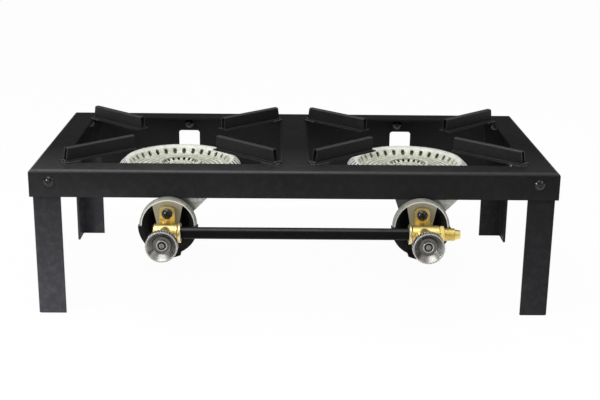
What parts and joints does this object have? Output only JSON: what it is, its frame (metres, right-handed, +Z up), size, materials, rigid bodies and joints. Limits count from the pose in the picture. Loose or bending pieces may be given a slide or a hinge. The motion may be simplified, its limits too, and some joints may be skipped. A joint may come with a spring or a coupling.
{
  "type": "camping stove",
  "caption": "Gas camping stove: black angle-steel frame on bolted legs, ringed cast burners under folded pot supports, brass taps with dished metal knobs and a flare gas inlet.",
  "frame": {"origin": "on the floor, at the middle of the stove's overall length and depth, knobs included", "axes": "+X to the right along the front rail, +Y to the back, away from the knobs, +Z up"},
  "size_m": [0.667, 0.43, 0.2095],
  "materials": {
    "frame_paint": "satin black paint",
    "support_paint": "satin black paint, rubbed at the edges",
    "guard_paint": "matt black paint",
    "bolt_black": "glossy black coating",
    "nut_steel": "zinc plated",
    "burner_casting": "silver heat paint on cast iron",
    "burner_cap_casting": "silver heat paint on cast iron",
    "pipe_paint": "satin black paint",
    "shutter_paint": "satin black paint",
    "tap_brass": "bare brass, softly polished",
    "fitting_brass": "turned brass",
    "stem_brass": "turned brass",
    "knob_chrome": "nickel plating",
    "screw_steel": "bright zinc"
  },
  "bodies": {
    "stove": {"front_rail": "frame_paint", "rear_rail": "frame_paint", "left_rail": "frame_paint", "right_rail": "frame_paint", "centre_bar": "frame_paint", "left_front_saddle": "frame_paint", "right_front_saddle": "frame_paint", "burner_cross_strap": "frame_paint", "left_front_leg": "frame_paint", "left_rear_leg": "frame_paint", "right_front_leg": "frame_paint", "right_rear_leg": "frame_paint", "left_front_outer_pot_support": "support_paint", "left_front_inner_pot_support": "support_paint", "left_rear_outer_pot_support": "support_paint", "left_rear_inner_pot_support": "support_paint", "right_front_outer_pot_support": "support_paint", "right_front_inner_pot_support": "support_paint", "right_rear_outer_pot_support": "support_paint", "right_rear_inner_pot_support": "support_paint", "wind_guard": "guard_paint", "guard_clamps": "guard_paint", "leg_bolts": "bolt_black", "guard_bolts": "bolt_black", "ear_bolts": "bolt_black", "boss_bolts": "bolt_black", "lug_screws": "bolt_black", "leg_nuts": "nut_steel", "guard_nuts": "nut_steel", "ear_nuts": "nut_steel", "left_burner_body": "burner_casting", "right_burner_body": "burner_casting", "left_burner_cap": "burner_cap_casting", "right_burner_cap": "burner_cap_casting", "gas_pipe": "pipe_paint", "left_tap_body": "tap_brass", "right_tap_body": "tap_brass", "pipe_collars": "fitting_brass", "flare_inlet": "fitting_brass", "left_gland_nut": "fitting_brass", "right_gland_nut": "fitting_brass", "left_jet": "fitting_brass", "right_jet": "fitting_brass"},
    "left_tap_handle": {"left_knob": "knob_chrome", "left_stem": "stem_brass", "left_knob_screw": "screw_steel"},
    "left_shutter": {"left_air_shutter": "shutter_paint"},
    "right_tap_handle": {"right_knob": "knob_chrome", "right_stem": "stem_brass", "right_knob_screw": "screw_steel"},
    "right_shutter": {"right_air_shutter": "shutter_paint"}
  },
  "joints": [
    {"name": "left_tap_turn", "type": "hinge", "parent": "stove", "child": "left_tap_handle", "pos_m": [-0.1575, -0.208, 0.1234], "axis": [0, -1, 0], "range_deg": [0, 270]},
    {"name": "left_shutter_turn", "type": "hinge", "parent": "stove", "child": "left_shutter", "pos_m": [-0.1575, -0.135, 0.1234], "axis": [0, -1, 0], "range_deg": [-20, 20]},
    {"name": "right_tap_turn", "type": "hinge", "parent": "stove", "child": "right_tap_handle", "pos_m": [0.1575, -0.208, 0.1234], "axis": [0, -1, 0], "range_deg": [0, 270]},
    {"name": "right_shutter_turn", "type": "hinge", "parent": "stove", "child": "right_shutter", "pos_m": [0.1575, -0.135, 0.1234], "axis": [0, -1, 0], "range_deg": [-20, 20]}
  ]
}
